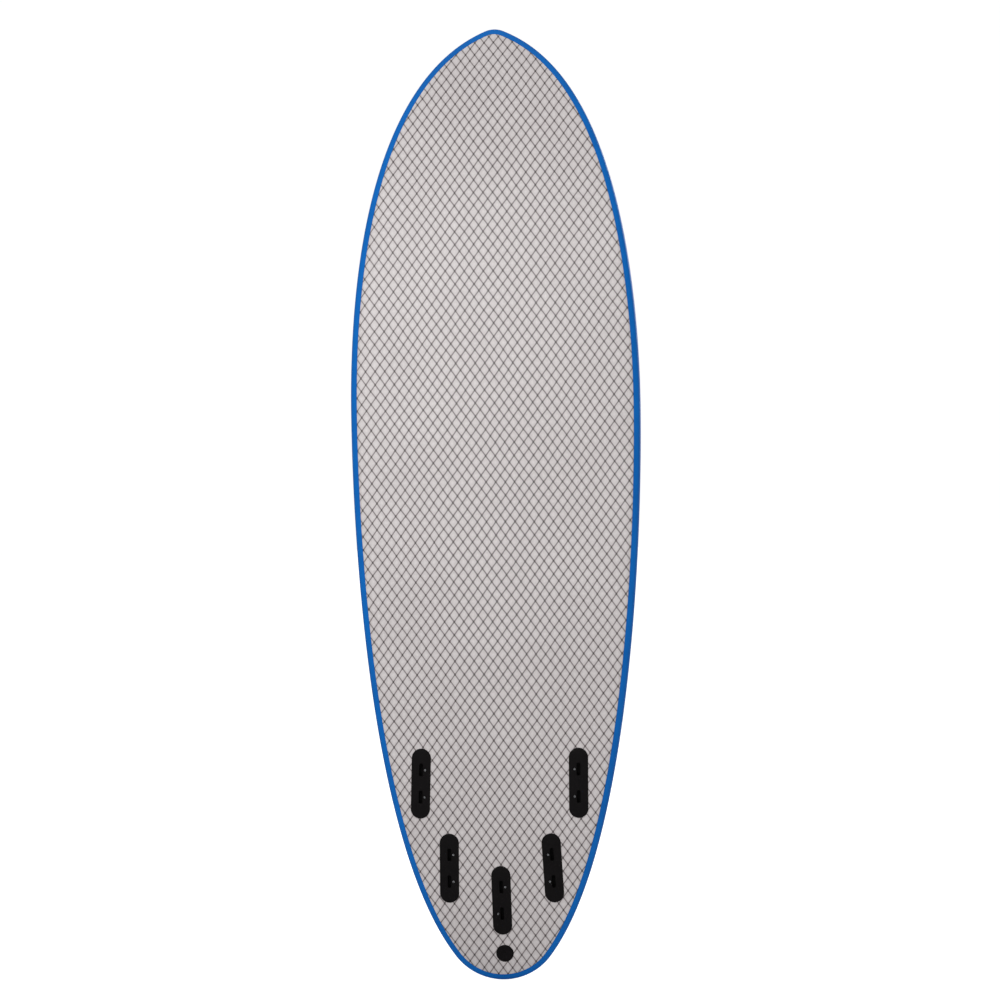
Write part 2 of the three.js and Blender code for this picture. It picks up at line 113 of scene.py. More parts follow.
# Birch plywood, sawn: pale tan faces with long grain, and darker glue lines between plies
plywood, tree, shader, place = new_finish("birch_plywood_sawn", Roughness=0.6)
grain_space = add_node(tree, "Mapping", {"Vector": place, "Scale": (900, 180, 6)})
grain = add_node(tree, "TexNoise", {"Vector": grain_space.outputs["Vector"], "Scale": 1,
                                    "Detail": 4, "Roughness": 0.6})
axes = add_node(tree, "SeparateXYZ", {"Vector": place})
from_middle = add_node(tree, "Math", {0: axes.outputs["X"]}, operation="ABSOLUTE")
ply_count = add_node(tree, "Math", {0: from_middle.outputs[0], 1: per_metre(PLY)},
                     operation="MULTIPLY")
ply_edge = add_node(tree, "Math", {0: ply_count.outputs[0], 1: 0.5}, operation="PINGPONG")
glue_line = add_node(tree, "MapRange", {"Value": ply_edge.outputs[0], "From Max": 0.08})
wood = add_node(tree, "Mix", {"Factor": grain.outputs["Fac"], 6: linear("#A47B4C"),
                              7: linear("#D9B887")}, data_type="RGBA")
glued = add_node(tree, "Mix", {"Factor": glue_line.outputs["Result"], 6: linear("#6B4A2C"),
                               7: wood.outputs[2]}, data_type="RGBA")
relief = add_node(tree, "Bump", {"Height": grain.outputs["Fac"], "Distance": 0.0001})
dress(tree, shader, glued, relief)
for batten in ("stringer_left", "stringer_right"):
    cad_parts[batten].material_slots[0].material = plywood


# --- Foam blocks --------------------------------------------------------------------------
# A block of high-density PVC foam is routed into the core under each fin box and takes the
# fin's loads. It is cut from sheet, so its faces show open cells.

BOX_NAMES = ("front_left", "front_right", "rear_left", "rear_right", "centre")

# Rigid PVC foam, machined: matt cream with cut cells, drawn 1.2 mm wide so that they show
block_foam, tree, shader, place = new_finish("rigid_pvc_foam_machined", Roughness=0.8)
cells = add_node(tree, "TexVoronoi", {"Vector": place, "Scale": per_metre(1.2)})
shade = add_node(tree, "Mix", {"Factor": cells.outputs["Distance"], 6: linear("#EFE5C8"),
                               7: linear("#CDBE96")}, data_type="RGBA")
relief = add_node(tree, "Bump", {"Height": cells.outputs["Distance"], "Distance": 0.0002})
dress(tree, shader, shade, relief)
for box_name in BOX_NAMES:
    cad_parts["foam_block_" + box_name].material_slots[0].material = block_foam


# --- Reinforcement net --------------------------------------------------------------------
# A diamond net of extruded black polyethylene strands, welded where they cross. It's laid
# on the core before the slick and stops the bottom from creasing.

# The board's outline in plan: an arc round each end and one curve from it to the widest point
LENGTH = 1829
HALF_WIDTH = 275
WIDE_POINT = 1090
TAIL_RADIUS = 112
TAIL_ARC = math.radians(53)
TAIL_HANDLES = (246, 308)
NOSE_RADIUS = 42
NOSE_ARC = math.radians(24)
NOSE_HANDLES = (256, 178)

# Points lie closer together towards the tips by this power
POINT_CROWDING = 1.4


def end_outline(end, radius, arc, handles, arc_steps, curve_steps):
    """Points (x, z, nx, nz) from a tip to short of the widest point; (nx, nz) points outwards."""
    tip = LENGTH if end > 0 else 0
    points = []
    for k in range(arc_steps + 1):
        nx, nz = math.sin(arc * k / arc_steps), end * math.cos(arc * k / arc_steps)
        points.append((radius * nx, tip - end * radius + radius * nz, nx, nz))
    x, z, nx, nz = points[-1]
    first, last = Vector((x, z)), Vector((HALF_WIDTH, WIDE_POINT))
    leaving = first + Vector((end * nz, -end * nx)) * handles[0]
    arriving = last + Vector((0, end * handles[1]))
    for k in range(1, curve_steps):
        t = (k / curve_steps) ** POINT_CROWDING
        s = 1 - t
        at = s ** 3 * first + 3 * s * s * t * leaving + 3 * s * t * t * arriving + t ** 3 * last
        slope = s * s * (leaving - first) + 2 * s * t * (arriving - leaving)
        slope += t * t * (last - arriving)
        slope.normalize()
        points.append((at.x, at.y, abs(slope.y), end * abs(slope.x)))
    return points


half_outline = (
    end_outline(-1, TAIL_RADIUS, TAIL_ARC, TAIL_HANDLES, 24, 90)
    + [(HALF_WIDTH, WIDE_POINT, 1, 0)]
    + end_outline(1, NOSE_RADIUS, NOSE_ARC, NOSE_HANDLES, 8, 80)[::-1]
)

# Rocker: how far each end lifts, over what length it does so, and the power of its curve
NOSE_LIFT = 118
NOSE_RUN = 620
NOSE_BEND = 2.4
TAIL_LIFT = 50
TAIL_RUN = 650
TAIL_BEND = 2.2

# Foil: the thickness in the middle and at the ends, and the power of its fall to each end
THICKNESS = 73
THICKEST_POINT = 800
NOSE_THICKNESS = 21
NOSE_TAPER = 2.6
TAIL_THICKNESS = 26
TAIL_TAPER = 2.4


def thickness_at(z):
    if z > THICKEST_POINT:
        share = (z - THICKEST_POINT) / (LENGTH - THICKEST_POINT)
        return THICKNESS - (THICKNESS - NOSE_THICKNESS) * share ** NOSE_TAPER
    share = max(0, THICKEST_POINT - z) / THICKEST_POINT
    return THICKNESS - (THICKNESS - TAIL_THICKNESS) * share ** TAIL_TAPER


def bottom_at(z):
    """Y of the bottom. The tip of the tail is a third of the way through the board there."""
    nose_share = max(0, 1 - (LENGTH - z) / NOSE_RUN)
    tail_share = max(0, 1 - z / TAIL_RUN)
    lift = NOSE_LIFT * nose_share ** NOSE_BEND + TAIL_LIFT * tail_share ** TAIL_BEND
    return lift - TAIL_LIFT - TAIL_THICKNESS / 3


# Where the fin boxes and the leash plug sit: across the board and up from the tail. The boxes
# are let in by hand, so each is turned a little differently, here in degrees.
BOX_PLACES = {
    "front_left": (-149.4, 381), "front_right": (149.4, 381),
    "rear_left": (-98.2, 218.5), "rear_right": (98.2, 218.5), "centre": (0, 156),
}
BOX_TURNS = {"front_left": -2.1, "front_right": -0.4, "rear_left": -0.8, "rear_right": 2.9,
             "centre": 0.9}
BOX_LENGTH = 133
BOX_WIDTH = 36
LEASH_PLACE = (4, 53)
DISC_RADIUS = 16.5
FIT = 0.3


def seat_on(x, z, height_at, facing, turn=0):
    """The frame of a fitting let into a face: local Z points out of the board, Y to the nose."""
    slope = (height_at(z + 1) - height_at(z - 1)) / 2
    along = Vector((0, slope, 1)).normalized()
    out = Vector((0, facing, -facing * slope)).normalized()
    basis = Matrix((along.cross(out), along, out)).transposed().to_4x4()
    return Matrix.Translation((x, height_at(z), z)) @ basis @ Matrix.Rotation(turn, 4, "Z")


box_seats = {
    name: seat_on(x, z, bottom_at, -1, math.radians(BOX_TURNS[name]))
    for name, (x, z) in BOX_PLACES.items()
}

# The net's diamonds and strands, how deep it lies, and how it rises towards the board's edge
NET_ACROSS = 18.05
NET_ALONG = 25
STRAND = 0.9
NET_DEPTH = 2.3
NET_RISE = 7.7
NET_RISE_WIDTH = 42
NET_RISE_BEND = 4
NET_MARGIN = 15
NET_CLEARANCE = 2


def inset_from_edge(x, z):
    """How far a point of the bottom lies inside the outline, and negative outside it."""
    nearest = min(half_outline, key=lambda p: (abs(x) - p[0]) ** 2 + (z - p[1]) ** 2)
    return (nearest[0] - abs(x)) * nearest[2] + (nearest[1] - z) * nearest[3]


def clear_of_fittings(x, z, margin):
    """Whether a point of the bottom is outside every fin box and the leash disc."""
    if math.hypot(x - LEASH_PLACE[0], z - LEASH_PLACE[1]) < DISC_RADIUS + margin:
        return False
    for box_x, box_z in BOX_PLACES.values():
        past_straight = max(0, abs(z - box_z) - (BOX_LENGTH - BOX_WIDTH) / 2)
        if math.hypot(x - box_x, past_straight) < BOX_WIDTH / 2 + margin:
            return False
    return True


def in_net(x, z):
    return clear_of_fittings(x, z, NET_CLEARANCE) and inset_from_edge(x, z) > NET_MARGIN


net_curve = bpy.data.curves.new("reinforcement_net", "CURVE")
net_curve.dimensions = "3D"
net_curve.bevel_depth = STRAND / 2
net_curve.bevel_resolution = 0
net_curve.use_fill_caps = True


def lay_strand(run):
    """One strand along the crossings that it passes."""
    if len(run) < 2:
        return
    spline = net_curve.splines.new("POLY")
    spline.points.add(len(run) - 1)
    for point, (x, z) in zip(spline.points, run):
        near_edge = max(0, 1 - inset_from_edge(x, z) / NET_RISE_WIDTH)
        depth = NET_DEPTH + NET_RISE * near_edge ** NET_RISE_BEND
        point.co = (x, bottom_at(z) + depth, z, 1)


# Strands lean both ways, start level with the tail and cross at every half diamond
rows = math.ceil(LENGTH / NET_ALONG * 2)
columns = math.ceil(HALF_WIDTH / NET_ACROSS * 2)
for lean in (-1, 1):
    for start in range(-columns - rows, columns + rows + 1, 2):
        run = []
        for row in range(rows + 1):
            x, z = (start + lean * row) * NET_ACROSS / 2, row * NET_ALONG / 2
            if abs(x) < HALF_WIDTH and in_net(x, z):
                run.append((x, z))
            else:
                lay_strand(run)
                run = []
        lay_strand(run)


def activate(piece):
    """Makes a piece the only selected one, and the one that operators act on."""
    bpy.ops.object.select_all(action="DESELECT")
    piece.select_set(True)
    bpy.context.view_layer.objects.active = piece


def put(piece, seat=Matrix.Identity(4)):
    """Takes a piece made in millimetres to its place in the board, in metres."""
    piece.data.transform(Matrix.Scale(0.001, 4) @ seat)


def hand_over(piece, finish, slot, *nodes, body="board"):
    """Gives a finished piece its material and its body, and hides the CAD nodes that it stands for.
    """
    piece.data.materials.clear()
    piece.data.materials.append(finish)
    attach(piece, body)
    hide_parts(*nodes)


net = bpy.data.objects.new("reinforcement_net", net_curve)
bpy.context.scene.collection.objects.link(net)
activate(net)
bpy.ops.object.convert(target="MESH")
net = bpy.context.object
put(net)

# Polyethylene, extruded: soft black strands with a waxy sheen and faint draw marks
net_plastic, tree, shader, place = new_finish("polyethylene_net_extruded", Roughness=0.5)
marks = add_node(tree, "TexNoise", {"Vector": place, "Scale": per_metre(3), "Detail": 3})
shade = add_node(tree, "Mix", {"Factor": marks.outputs["Fac"], 6: linear("#171312"),
                               7: linear("#2E2928")}, data_type="RGBA")
relief = add_node(tree, "Bump", {"Height": marks.outputs["Fac"], "Distance": 0.0001})
dress(tree, shader, shade, relief)
hand_over(net, net_plastic, "netting", "mesh_layer")


# --- Slick --------------------------------------------------------------------------------
# The bottom sheet is high-density polyethylene, 1.6 mm thick, heat-laminated over the net,
# which shows through it. It's cut out round the fin boxes and the leash disc.

SLICK = 1.6
SEAM = 0.4
SLICK_ROUNDING = 0.45
EDGE_HEIGHT = 0.92
FLAT_STEPS = 6
CURVE_STEPS = 5

# Section rings: inset from the outline, and height as a share of the thickness there. The
# bottom is flat, then rises to the sheet's edge; the rail rings turn round to the deck.
BOTTOM_RINGS = ((42, 0), (20, 0.008))
RAIL_RINGS = (
    (12.6, 0.045), (3.5, 0.12), (0.6, 0.23), (0, 0.33),
    (1.5, 0.45), (7, 0.59), (17, 0.70), (30, 0.78),
)

# Towards the ends, where the board is slim, the rings lie nearer the outline, the rail's rings
# take up more of the thickness, and the foam skins are thinner
SLIM_INSET = 0.2
SLIM_SKIN = 0.5
SLIM_RISE = 0.2


def slimness(z):
    return 1 - thickness_at(z) / THICKNESS


def inset_scale(point):
    return 1 - SLIM_INSET * slimness(point[1])


def skin_scale(point):
    return 1 - SLIM_SKIN * slimness(point[1])


def fullness(point):
    return 1 + SLIM_RISE * slimness(point[1])


def reach(point):
    """Distance from the outline to the centreline, square to the outline."""
    if point[2] > 1e-6:
        return point[0] / point[2]
    return NOSE_RADIUS if point[3] > 0 else TAIL_RADIUS


def in_height(point, inset, share):
    return (inset, share * thickness_at(point[1] - point[3] * inset))


def smoothed(points, steps):
    """A smooth line through points of a section, with steps parts between each two."""
    line = []
    for k in range(len(points) - 1):
        before, here, there, after = (
            Vector(points[min(max(j, 0), len(points) - 1)]) for j in range(k - 1, k + 3)
        )
        for step in range(steps):
            t = step / steps
            line.append(0.5 * (
                2 * here + (there - before) * t
                + (2 * before - 5 * here + 4 * there - after) * t * t
                + (3 * here - before - 3 * there + after) * t ** 3
            ))
    line.append(Vector(points[-1]))
    return line


def sunk(line, depth):
    """A section line moved into the board by depth, square to itself."""
    moved = []
    for k, at in enumerate(line):
        run = line[min(k + 1, len(line) - 1)] - line[max(k - 1, 0)]
        run.normalize()
        moved.append(at + Vector((run.y, -run.x)) * depth)
    return moved


def sweep(name, section, looped=False):
    """A closed skin from its section at every point of the outline: half of a grid, mirrored."""
    rows = []
    for point in half_outline:
        line = section(point)
        rows.append(line + [line[0]] if looped else line)
    bpy.ops.mesh.primitive_grid_add(x_subdivisions=len(rows[0]) - 1, y_subdivisions=len(rows) - 1)
    skin = bpy.context.object
    skin.name = skin.data.name = name
    places = []
    for point, line in zip(half_outline, rows):
        for inset, height in line:
            z = point[1] - point[3] * inset
            places.append((max(0, point[0] - point[2] * inset), bottom_at(z) + height, z))
    for vertex, at in zip(skin.data.vertices, places):
        vertex.co = at
    mirror = skin.modifiers.new("other half", "MIRROR")
    mirror.merge_threshold = 0.001
    bpy.ops.object.modifier_apply(modifier=mirror.name)
    bpy.ops.object.mode_set(mode="EDIT")
    bpy.ops.mesh.select_all(action="SELECT")
    bpy.ops.mesh.remove_doubles(threshold=0.001)
    bpy.ops.mesh.normals_make_consistent(inside=False)
    bpy.ops.object.mode_set(mode="OBJECT")
    return skin


def slick_section(point):
    """The sheet's section: its face from the middle to the edge, a rounded lip, and its back."""
    scale = inset_scale(point)
    edge = RAIL_RINGS[0][0] * scale + SEAM
    flat = BOTTOM_RINGS[0][0] * scale
    middle = reach(point)
    line = [Vector((middle + (flat - middle) * k / FLAT_STEPS, 0)) for k in range(FLAT_STEPS)]
    rings = [in_height(point, inset * scale, share) for inset, share in BOTTOM_RINGS]
    # The sheet's edge comes up to a little less than the height of the rail's foot
    rings.append(in_height(point, edge, RAIL_RINGS[0][1] * EDGE_HEIGHT))
    face = line + smoothed(rings, CURVE_STEPS)
    before = face[-1] + (face[-2] - face[-1]).normalized() * SLICK_ROUNDING
    after = sunk(face, SLICK_ROUNDING)[-1]
    # The rounding's middle point, pulled towards the sharp corner
    corner = face[-1] * 0.3 + (before + after) * 0.35
    return face[:-1] + [before, corner, after] + sunk(face, SLICK)[::-1]


slick = sweep("slick_sheet", slick_section)


def select(piece, kind, wanted):
    """In edit mode, selects only the points, edges or faces that pass a test."""
    bpy.ops.mesh.select_mode(type=kind)
    bpy.ops.mesh.select_all(action="DESELECT")
    mesh = bmesh.from_edit_mesh(piece.data)
    items = {"VERT": mesh.verts, "EDGE": mesh.edges, "FACE": mesh.faces}[kind]
    for item in items:
        if wanted(item):
            item.select_set(True)
    mesh.select_flush_mode()
    bmesh.update_edit_mesh(piece.data)


def lift(height):
    """Extrudes what is selected along local Z."""
    bpy.ops.mesh.extrude_region_move(TRANSFORM_OT_translate={"value": (0, 0, height)})


def widen(across, along):
    """Scales what is selected about the local Z axis."""
    bpy.ops.transform.resize(value=(across, along, 1), center_override=(0, 0, 0))


def start_round(name, radius, height, sides=64):
    """A filled circle across local Z, left in edit mode with its face selected."""
    bpy.ops.mesh.primitive_circle_add(
        vertices=sides, radius=radius, fill_type="NGON", location=(0, 0, height))
    piece = bpy.context.object
    piece.name = piece.data.name = name
    bpy.ops.object.transform_apply(location=True, rotation=True, scale=True)
    bpy.ops.object.mode_set(mode="EDIT")
    bpy.ops.mesh.select_all(action="SELECT")
    return piece


def start_pill(name, length, width, height, sides=64):
    """A filled pill across local Z, its long side along local Y, left in edit mode."""
    piece = start_round(name, width / 2, height, sides)
    bpy.ops.transform.rotate(
        value=math.pi / sides, orient_axis="Z", center_override=(0, 0, 0))
    for end in (-1, 1):
        select(piece, "VERT", lambda point: point.co.y * end > 0)
        bpy.ops.transform.translate(value=(0, end * (length - width) / 2, 0))
    select(piece, "FACE", lambda face: True)
    return piece


def close(piece):
    """Ends edit mode with every face pointing outwards."""
    bpy.ops.mesh.select_all(action="SELECT")
    bpy.ops.mesh.normals_make_consistent(inside=False)
    bpy.ops.object.mode_set(mode="OBJECT")
    return piece


def cut(piece, *cutters):
    """Takes the cutters out of a piece, and removes them."""
    for cutter in cutters:
        activate(piece)
        hole = piece.modifiers.new("cut", "BOOLEAN")
        hole.operation = "DIFFERENCE"
        hole.solver = "EXACT"
        hole.object = cutter
        bpy.ops.object.modifier_apply(modifier=hole.name)
        bpy.data.objects.remove(cutter)


def smooth(piece, degrees=35):
    """Smooth shading, with edges sharper than this kept crisp."""
    activate(piece)
    bpy.ops.object.shade_smooth_by_angle(angle=math.radians(degrees))


CUT_REACH = 12
disc_seat = seat_on(*LEASH_PLACE, bottom_at, -1)
for seat in box_seats.values():
    hole = start_pill("slick hole", BOX_LENGTH + 2 * FIT, BOX_WIDTH + 2 * FIT, -CUT_REACH)
    lift(2 * CUT_REACH)
    close(hole).data.transform(seat)
    cut(slick, hole)
hole = start_round("slick hole", DISC_RADIUS + FIT, -CUT_REACH)
lift(2 * CUT_REACH)
close(hole).data.transform(disc_seat)
cut(slick, hole)
smooth(slick)
put(slick)

# How the net shows. A strand wanders within a band NET_STRAY wide, and its line, the painted
# shade beside it and the knots fade out between the distances below from its middle. The shader
# counts them in pitches: strands lie NET_PITCH apart, square to themselves.
NET_STRAY = 4
LINE_CORE = 0.5
LINE_EDGE = 1.3
STRAND_SHADE_EDGE = 6
STRAND_SHADE_STRENGTH = 0.3
KNOT_CORE = 0.8
KNOT_EDGE = 2.3
NET_PITCH = NET_ACROSS * NET_ALONG / math.hypot(NET_ACROSS, NET_ALONG)

# High-density polyethylene, laminated: satin warm grey with the net's strands showing as
# darker lines that stand up a little, darkest where they cross. The sheet is slightly translucent,
# and the soft darkening close to each strand is painted shade. It also has a faint ripple
slick_plastic, tree, shader, place = new_finish(
    "polyethylene_slick_laminated", Roughness=0.45, IOR=1.52)
drift = add_node(tree, "TexNoise", {"Vector": place, "Scale": per_metre(70), "Detail": 2})
centred = add_node(tree, "VectorMath", {0: drift.outputs["Color"], 1: (0.5, 0.5, 0.5)},
                   operation="SUBTRACT")
strayed = add_node(tree, "VectorMath", {0: centred.outputs[0], 1: [NET_STRAY / 1000] * 3,
                                        2: place}, operation="MULTIPLY_ADD")
axes = add_node(tree, "SeparateXYZ", {"Vector": strayed.outputs[0]})
across = add_node(tree, "Math", {0: axes.outputs["X"], 1: per_metre(NET_ACROSS)},
                  operation="MULTIPLY")
along = add_node(tree, "Math", {0: axes.outputs["Z"], 1: per_metre(NET_ALONG)},
                 operation="MULTIPLY")
rising = add_node(tree, "Math", {0: across.outputs[0], 1: along.outputs[0]}, operation="ADD")
falling = add_node(tree, "Math", {0: across.outputs[0], 1: along.outputs[0]},
                   operation="SUBTRACT")
off_rising = add_node(tree, "Math", {0: rising.outputs[0], 1: 0.5}, operation="PINGPONG")
off_falling = add_node(tree, "Math", {0: falling.outputs[0], 1: 0.5}, operation="PINGPONG")
nearer = add_node(tree, "Math", {0: off_rising.outputs[0], 1: off_falling.outputs[0]},
                  operation="MINIMUM")
farther = add_node(tree, "Math", {0: off_rising.outputs[0], 1: off_falling.outputs[0]},
                   operation="MAXIMUM")
strand = add_node(tree, "MapRange", {
    "Value": nearer.outputs[0], "From Min": LINE_EDGE / NET_PITCH,
    "From Max": LINE_CORE / NET_PITCH,
}, interpolation_type="SMOOTHSTEP")
# Painted shade: the sheet is darkened close to each strand, as a soft shadow of the strand
strand_shade = add_node(tree, "MapRange", {
    "Value": nearer.outputs[0], "From Min": STRAND_SHADE_EDGE / NET_PITCH,
    "From Max": LINE_CORE / NET_PITCH, "To Max": STRAND_SHADE_STRENGTH,
})
knot = add_node(tree, "MapRange", {
    "Value": farther.outputs[0], "From Min": KNOT_EDGE / NET_PITCH,
    "From Max": KNOT_CORE / NET_PITCH,
}, interpolation_type="SMOOTHSTEP")
ripple = add_node(tree, "TexNoise", {"Vector": place, "Scale": per_metre(5), "Detail": 3,
                                     "Roughness": 0.7})
cloud = add_node(tree, "TexNoise", {"Vector": place, "Scale": per_metre(140), "Detail": 2})
mottle = add_node(tree, "Math", {0: cloud.outputs["Fac"], 1: 0.4,
                                 2: ripple.outputs["Fac"]}, operation="MULTIPLY_ADD")
sheet_tone = add_node(tree, "MapRange", {"Value": mottle.outputs[0], "From Min": 0.45,
                                         "From Max": 0.95})
sheet_shade = add_node(tree, "Mix", {"Factor": sheet_tone.outputs["Result"],
                                     6: linear("#D9D2D2"), 7: linear("#EAE4E4")},
                       data_type="RGBA")
# The painted shade beside the strands, mixed into the sheet's colour
strand_shaded = add_node(tree, "Mix", {"Factor": strand_shade.outputs["Result"], 6: sheet_shade.outputs[2],
                                7: linear("#A39A9A")}, data_type="RGBA")
lined = add_node(tree, "Mix", {"Factor": strand.outputs["Result"], 6: strand_shaded.outputs[2],
                               7: linear("#807777")}, data_type="RGBA")
knotted = add_node(tree, "Mix", {"Factor": knot.outputs["Result"], 6: lined.outputs[2],
                                 7: linear("#4A4342")}, data_type="RGBA")
raised = add_node(tree, "Bump", {"Height": strand.outputs["Result"], "Distance": 0.00025,
                                 "Strength": 0.6})
relief = add_node(tree, "Bump", {"Height": ripple.outputs["Fac"], "Distance": 0.0003,
                                 "Strength": 0.5, "Normal": raised.outputs["Normal"]})
dress(tree, shader, knotted, relief)
hand_over(slick, slick_plastic, "slick", "bottom_skin")


# --- Rail ---------------------------------------------------------------------------------
# The rail is two strips of blue cross-linked polyethylene foam, heat-bent round the core's
# edge and glued. They meet at the nose and the tail, and butt against the slick and the deck.

RAIL_FOAM = 6
NETTING = 0.8
DECK_FOAM = 5
FOAM_ROUNDING = 0.5
TIP_GAP = 0.1
FOAM_BLUE = "#0E7BDA"

# The strip's back starts and ends this many points of the section in from its face's ends
BACK_TRIM = 4


def rail_section(point):
    """The strip's section: its round face, its top edge, its hollow back and its foot."""
    scale = inset_scale(point)
    face = smoothed([in_height(point, inset * scale, share * fullness(point))
                     for inset, share in RAIL_RINGS], CURVE_STEPS)
    back = sunk(face, RAIL_FOAM * skin_scale(point))[BACK_TRIM:-BACK_TRIM]
    foot = sunk(face, SLICK + FIT + NETTING)[0]
    top = sunk(face, DECK_FOAM * skin_scale(point))[-1]
    after_foot = face[0] + (face[1] - face[0]).normalized() * FOAM_ROUNDING
    before_top = face[-1] + (face[-2] - face[-1]).normalized() * FOAM_ROUNDING
    edge = sunk(face, FOAM_ROUNDING)
    return [edge[0], after_foot, *face[1:-1], before_top, edge[-1], top, *back[::-1], foot]


hoop = sweep("rail hoop", rail_section, looped=True)

# Cross-linked polyethylene foam, heat-bent: a soft satin blue skin with closed cells under
# it, drawn 1.4 mm wide so that they show, and slow changes of tone from the bending
rail_foam, tree, shader, place = new_finish(
    "crosslinked_foam_heat_bent", Roughness=0.55, Specular_IOR_Level=0.12)
cells = add_node(tree, "TexVoronoi", {"Vector": place, "Scale": per_metre(1.4)})
slow = add_node(tree, "TexNoise", {"Vector": place, "Scale": per_metre(60), "Detail": 3})
tone = add_node(tree, "Math", {0: cells.outputs["Distance"], 1: 0.35, 2: slow.outputs["Fac"]},
                operation="MULTIPLY_ADD")
shade = add_node(tree, "Mix", {"Factor": tone.outputs[0], 6: linear(FOAM_BLUE),
                               7: linear("#0B67BE")}, data_type="RGBA")
relief = add_node(tree, "Bump", {"Height": cells.outputs["Distance"], "Distance": 0.0001,
                                 "Strength": 0.5})
dress(tree, shader, shade, relief)

# Each half of the hoop is cut square at the tips, where it meets the other half
for side, name in ((-1, "left"), (1, "right")):
    activate(hoop)
    bpy.ops.object.duplicate()
    rail = bpy.context.object
    rail.name = rail.data.name = "rail_strip_" + name
    bpy.ops.object.mode_set(mode="EDIT")
    bpy.ops.mesh.select_all(action="SELECT")
    bpy.ops.mesh.bisect(plane_co=(side * TIP_GAP / 2, 0, 0), plane_no=(side, 0, 0),
                        use_fill=True, clear_inner=True)
    close(rail)
    smooth(rail)
    put(rail)
    hand_over(rail, rail_foam, "rail_foam", "rail_" + name)
bpy.data.objects.remove(hoop)


# --- Deck ---------------------------------------------------------------------------------
# The deck sheet is the same foam, 5 mm thick, with a fine grid rolled into its skin for
# grip. It's glued over the domed top of the core and trimmed to the rail.

DECK_DOME = 2.2
DECK_STEPS = 16
CUP_FLANGE_RADIUS = 17
TAIL_TIP = half_outline[0]


def deck_share(point, inset):
    """The height of the domed deck, as a share of the thickness."""
    edge_inset = RAIL_RINGS[-1][0] * inset_scale(point)
    edge_share = RAIL_RINGS[-1][1] * fullness(point)
    outwards = max(0, (reach(point) - inset) / (reach(point) - edge_inset))
    return 1 - (1 - edge_share) * outwards ** DECK_DOME


def deck_section(point):
    """The sheet's section: its back, a rounded edge, and its face up to the middle."""
    start = RAIL_RINGS[-1][0] * inset_scale(point) + SEAM
    face = []
    for k in range(DECK_STEPS + 1):
        inset = start + (reach(point) - start) * k / DECK_STEPS
        face.append(Vector(in_height(point, inset, deck_share(point, inset))))
    edge = sunk(face, FOAM_ROUNDING)[0]
    after_edge = face[0] + (face[1] - face[0]).normalized() * FOAM_ROUNDING
    return sunk(face, DECK_FOAM * skin_scale(point))[::-1] + [edge, after_edge] + face[1:]


def tail_deck_at(z):
    """The height of the deck on the centreline near the tail."""
    return bottom_at(z) + deck_share(TAIL_TIP, z) * thickness_at(z)


deck = sweep("deck_sheet", deck_section)
cup_seat = seat_on(*LEASH_PLACE, tail_deck_at, 1)
hole = start_round("deck hole", CUP_FLANGE_RADIUS + FIT, -CUT_REACH)
lift(2 * CUT_REACH)
close(hole).data.transform(cup_seat)
cut(deck, hole)
smooth(deck)
put(deck)

# Cross-linked polyethylene foam, embossed: the same blue, matt, with a 4 mm grid of soft
# grooves, painted darker than the pads between them as painted shade in the grooves
GRIP_GRID = 4
deck_foam, tree, shader, place = new_finish(
    "crosslinked_foam_embossed", Roughness=0.65, Specular_IOR_Level=0.15)
axes = add_node(tree, "SeparateXYZ", {"Vector": place})
grooves = []
for axis in ("X", "Z"):
    count = add_node(tree, "Math", {0: axes.outputs[axis], 1: per_metre(GRIP_GRID)},
                     operation="MULTIPLY")
    grooves.append(add_node(tree, "Math", {0: count.outputs[0], 1: 0.5}, operation="PINGPONG"))
groove = add_node(tree, "Math", {0: grooves[0].outputs[0], 1: grooves[1].outputs[0]},
                  operation="MINIMUM")
pad = add_node(tree, "MapRange", {"Value": groove.outputs[0], "From Min": 0.02,
                                  "From Max": 0.16}, interpolation_type="SMOOTHSTEP")
slow = add_node(tree, "TexNoise", {"Vector": place, "Scale": per_metre(60), "Detail": 3})
body = add_node(tree, "Mix", {"Factor": slow.outputs["Fac"], 6: linear(FOAM_BLUE),
                              7: linear("#0C6AC0")}, data_type="RGBA")
# Painted shade: the grooves take a darker blue than the pads
shade = add_node(tree, "Mix", {"Factor": pad.outputs["Result"], 6: linear("#074C8E"),
                               7: body.outputs[2]}, data_type="RGBA")
relief = add_node(tree, "Bump", {"Height": pad.outputs["Result"], "Distance": 0.0004,
                                 "Strength": 0.7})
dress(tree, shader, shade, relief)
hand_over(deck, deck_foam, "deck_foam", "deck_skin")


# --- Fin boxes ----------------------------------------------------------------------------
# Five fin boxes, injection-moulded in glass-filled nylon: a pill-shaped flange over a
# narrower body, with two slots for a fin's tabs and a grub screw hole beside each slot.

BOX_PROUD = 1.2
BOX_ROUNDING = 0.9
FLANGE_DEPTH = 3
BODY_LENGTH = 118
BODY_WIDTH = 28
BODY_DEPTH = 18
SLOT_LENGTH = 24.5
SLOT_WIDTH = 6.6
SLOT_DEPTH = 14
SLOT_SPACING = 52
SLOT_CHAMFER = 0.8
SCREW_RADIUS = 2.25
SCREW_LENGTH = 8
SCREW_SINK = 0.8
SCREW_OFFSET = 7.8
SCREW_LEAN = math.radians(14)
SCREW_SIDES = {
    "front_left": (1, 1), "front_right": (-1, -1),
    "rear_left": (1, 1), "rear_right": (-1, -1), "centre": (1, -1),
}
ENDS = {"fore": SLOT_SPACING / 2, "aft": -SLOT_SPACING / 2}

